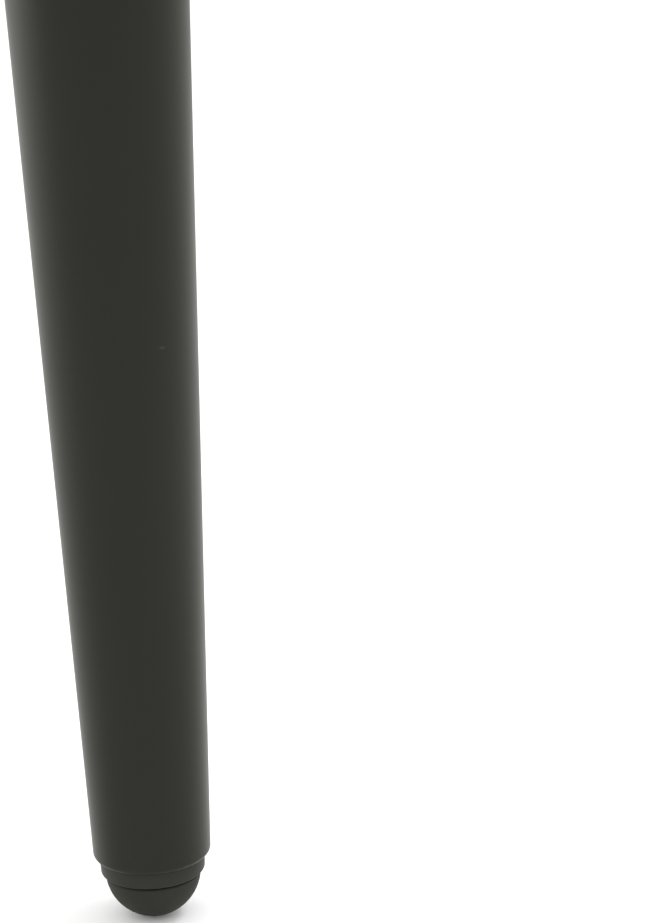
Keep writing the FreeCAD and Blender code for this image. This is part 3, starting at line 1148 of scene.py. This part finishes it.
@dataclass
class HalfRoundFoot:
    """The half-round foot, with a slightly crowned top face and a seat for the stud's head."""

    finish: bpy.types.Material
    radius: float = 15.5 * MM
    height: float = 15.2 * MM
    crown: float = 0.4 * MM
    rim_rounding: float = 0.8 * MM
    clearance: float = 0.06 * MM
    bore_radius: float = 3.06 * MM
    bore_rounding: float = 0.15 * MM
    seat_radius: float = 6.06 * MM
    head_height: float = 3.5 * MM
    head_cover: float = 3.6 * MM
    segments: int = 160
    bottom: float = field(init=False)

    def __post_init__(self) -> None:
        """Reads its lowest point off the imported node."""
        self.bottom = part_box("foot_dome")[0].z

    def build(self) -> bpy.types.Object:
        """Builds and dresses the foot.

        Returns:
            The finished piece.
        """
        rim = self.height - self.crown
        sphere = (self.radius**2 + rim**2) / (2.0 * rim)
        bm = bmesh.new()
        bmesh.ops.create_uvsphere(
            bm,
            u_segments=self.segments,
            v_segments=self.segments // 2,
            radius=sphere,
            matrix=Matrix.Translation((0.0, 0.0, self.bottom + sphere)),
        )
        cut = bmesh.ops.bisect_plane(
            bm,
            geom=bm.verts[:] + bm.edges[:] + bm.faces[:],
            dist=WELD_DISTANCE,
            plane_co=(0.0, 0.0, self.bottom + rim),
            plane_no=(0.0, 0.0, 1.0),
            clear_outer=True,
        )
        ring = [part for part in cut["geom_cut"] if isinstance(part, bmesh.types.BMEdge)]
        crown_at_bore = self.height - self.crown * self.bore_radius / self.radius
        seat_high = self.height - self.head_cover + self.clearance
        seat_low = seat_high - self.head_height - 2.0 * self.clearance
        for r, z in (
            (self.bore_radius, crown_at_bore),
            (self.bore_radius, seat_high),
            (self.seat_radius, seat_high),
            (self.seat_radius, seat_low),
            (0.0, seat_low),
        ):
            ring = self._draw_on(bm, ring, r, self.bottom + z)
        tidy(bm)
        bore_edge = self.bottom + crown_at_bore
        round_ring(bm, self.radius, self.bottom + rim, self.rim_rounding, segments=8)
        round_ring(bm, self.bore_radius, bore_edge, self.bore_rounding, segments=2)
        bmesh.ops.recalc_face_normals(bm, faces=bm.faces[:])
        return publish(bm, "half_round_foot", Body.FOOT, self.finish, "foot_dome")

    @staticmethod
    def _draw_on(
        bm: bmesh.types.BMesh, ring: list[bmesh.types.BMEdge], r: float, z: float
    ) -> list[bmesh.types.BMEdge]:
        """Extrudes a ring of edges to another radius and height.

        Args:
            bm: The mesh.
            ring: The open ring to go on from.
            r: New radius.
            z: New height.

        Returns:
            The new open ring.
        """
        made = bmesh.ops.extrude_edge_only(bm, edges=ring)["geom"]
        for vertex in (part for part in made if isinstance(part, bmesh.types.BMVert)):
            vertex.co = Vector((*(vertex.co.xy.normalized() * r), z))
        edges = (part for part in made if isinstance(part, bmesh.types.BMEdge))
        return [edge for edge in edges if edge.is_boundary]


# Studio


@dataclass
class Lamp:
    """A soft light that points at a place: a panel, or a round spot where it has a cone."""

    name: str
    place: Vector
    aim: Vector
    power: float
    width: float
    height: float = 0.0
    tint: Colour = (1.0, 1.0, 1.0)
    cone: float = 0.0

    def build(self) -> None:
        """Adds the light, of which a spot has no height."""
        data = bpy.data.lights.new(self.name, "SPOT" if self.cone else "AREA")
        if self.cone:
            data.spot_size = self.cone
            data.spot_blend = 1.0
            data.shadow_soft_size = self.width / 2.0
        else:
            data.shape = "RECTANGLE"
            data.size = self.width
            data.size_y = self.height
        data.energy = self.power
        data.color = self.tint
        lamp = bpy.data.objects.new(self.name, data)
        lamp.location = self.place
        lamp.rotation_euler = (self.aim - self.place).to_track_quat("-Z", "Y").to_euler()
        bpy.context.scene.collection.objects.link(lamp)


@dataclass
class Studio:
    """Floor, light and camera."""

    floor_finish: bpy.types.Material
    floor_radius: float = 14.0
    floor_segments: int = 96
    sky: float = 1.24
    sky_colour: Colour = (1.0, 1.0, 1.0)
    mirrored_sky: Colour = (0.54, 0.54, 0.513)
    camera_distance: float = 0.8868
    camera_height: float = -0.2912
    focal_pixels: float = 2961.0
    image_height: float = 923.0
    yaw: float = math.radians(4.078)
    pitch: float = math.radians(16.848)
    roll: float = math.radians(-2.488)
    clip: Span = (0.01, 100.0)

    def build(self) -> None:
        """Builds the studio."""
        self._floor()
        self._light()
        self._camera()

    def _floor(self) -> None:
        """Lays the floor under the foot, with which it moves when the foot is screwed out."""
        bm = bmesh.new()
        place = Matrix.Translation((0.0, 0.0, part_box("foot_dome")[0].z))
        bmesh.ops.create_circle(
            bm,
            cap_ends=True,
            segments=self.floor_segments,
            radius=self.floor_radius,
            matrix=place,
        )
        floor = temporary(bm, "studio_floor")
        floor.data.materials.append(self.floor_finish)
        floor.parent = frame["bodies"][Body.FOOT.value]

    def _light(self) -> None:
        """Sets an even surround, which the leg mirrors darker than it is, and the lamps."""
        scene = bpy.context.scene
        scene.view_settings.view_transform = "Standard"
        world = bpy.data.worlds.new("soft_surround")
        world.use_nodes = True
        graph = NodeGraph(world.node_tree)
        mirrored = graph.add("LightPath").outputs["Is Glossy Ray"]
        colour = graph.blend(mirrored, self.sky_colour, self.mirrored_sky)
        backdrop = graph.add("Background", {"Color": colour, "Strength": self.sky})
        graph.add("OutputWorld", {"Surface": backdrop.outputs[0]})
        scene.world = world
        for lamp in self._lamps():
            lamp.build()

    @staticmethod
    def _lamps() -> tuple[Lamp, ...]:
        """The weak panels at both sides of the leg, and the spot on the floor beside the foot."""
        middle = Vector((0.0, 0.0, -0.5))
        return (
            Lamp(
                "left_softbox",
                place=Vector((-1.45, 0.5, -0.33)),
                aim=middle,
                power=5.9,
                width=1.4,
                height=0.6,
                tint=(1.0, 0.98, 0.95),
            ),
            Lamp(
                "right_softbox",
                place=Vector((1.5, 0.7, 0.2)),
                aim=middle,
                power=5.0,
                width=1.4,
                height=1.4,
            ),
            Lamp(
                "floor_spot",
                place=Vector((1.3, 0.4, 0.9)),
                aim=Vector((0.3, 0.0, -0.71)),
                power=75.0,
                width=0.9,
                cone=math.radians(28.0),
            ),
        )

    def _camera(self) -> None:
        """Places the camera where the photograph was taken from."""
        data = bpy.data.cameras.new("camera")
        data.lens = self.focal_pixels * data.sensor_width / self.image_height
        data.clip_start, data.clip_end = self.clip
        camera = bpy.data.objects.new("camera", data)
        ahead = Vector(
            (
                math.sin(self.yaw) * math.cos(self.pitch),
                math.cos(self.yaw) * math.cos(self.pitch),
                -math.sin(self.pitch),
            )
        )
        right = Vector((math.cos(self.yaw), -math.sin(self.yaw), 0.0))
        above = right.cross(ahead)
        across = math.cos(self.roll) * right + math.sin(self.roll) * above
        upward = -math.sin(self.roll) * right + math.cos(self.roll) * above
        turn = Matrix((across, upward, -ahead)).transposed().to_4x4()
        stand = Vector((0.0, -self.camera_distance, self.camera_height))
        camera.matrix_world = Matrix.Translation(stand) @ turn
        bpy.context.scene.collection.objects.link(camera)
        bpy.context.scene.camera = camera


def main() -> None:
    """Builds the leg's pieces in order, then the studio."""
    logging.basicConfig(level=logging.INFO, format="%(message)s")
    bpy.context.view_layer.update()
    effects = SharedEffects()
    coat = PowderCoat().build(effects)
    insert_plastic = MouldedPlastic(
        "insert_plastic_satin",
        deep=(0.0222, 0.0228, 0.0184),
        pale=(0.0256, 0.0262, 0.0214),
        roughness=(0.42, 0.52),
        reflection=0.26,
        grain=2600.0,
        relief=5e-6,
    ).build(effects)
    foot_plastic = MouldedPlastic(
        "foot_plastic_matte",
        deep=(0.0240, 0.0246, 0.0196),
        pale=(0.0274, 0.0280, 0.0226),
        roughness=(0.55, 0.66),
        reflection=0.24,
        grain=2000.0,
        relief=9e-6,
    ).build(effects)
    zinc = ZincPlate().build(effects)
    tube = ConicalTube(coat)
    tube.build()
    WeldBead(coat, tube).build()
    dress("mounting_plate", coat)
    SnapInsert(insert_plastic, tube).build()
    dress("plug_nut", zinc)
    ThreadedStud(zinc).build()
    HalfRoundFoot(foot_plastic).build()
    Studio(FloorPaint().build(effects)).build()


if __name__ == "__main__":
    main()
